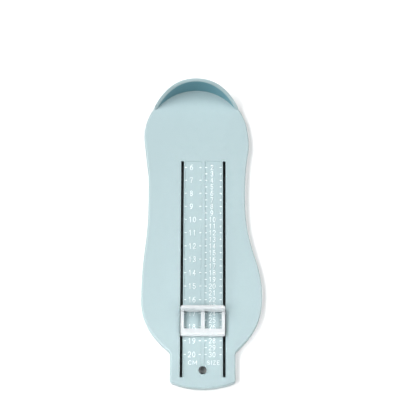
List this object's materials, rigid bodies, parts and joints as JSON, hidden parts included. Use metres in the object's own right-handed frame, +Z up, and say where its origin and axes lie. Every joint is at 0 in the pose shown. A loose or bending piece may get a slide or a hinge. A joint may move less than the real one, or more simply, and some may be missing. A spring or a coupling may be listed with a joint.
{
  "type": "foot measuring gauge",
  "caption": "Foot-shaped measuring gauge for children's feet: a raised heel wall, a scale between long slots and a stop that slides along them to the toes.",
  "frame": {"origin": "middle of the gauge's footprint, on the table under it", "axes": "+Y points to the heel wall, +X across the foot to the arch side, +Z up from the table"},
  "size_m": [0.087, 0.2266, 0.0276],
  "materials": {
    "tray_plastic": "satin moulded, pale aqua",
    "slider_plastic": "glossy moulded, white",
    "keeper_plastic": "satin moulded, white"
  },
  "bodies": {
    "tray": {"gauge_body": "tray_plastic"},
    "slider": {"slider_frame": "slider_plastic", "slider_keeper": "keeper_plastic"}
  },
  "joints": [
    {"name": "slider_travel", "type": "slide", "parent": "tray", "child": "slider", "axis": [0, -1, 0], "range_m": [-0.1118, 0.0332]}
  ]
}
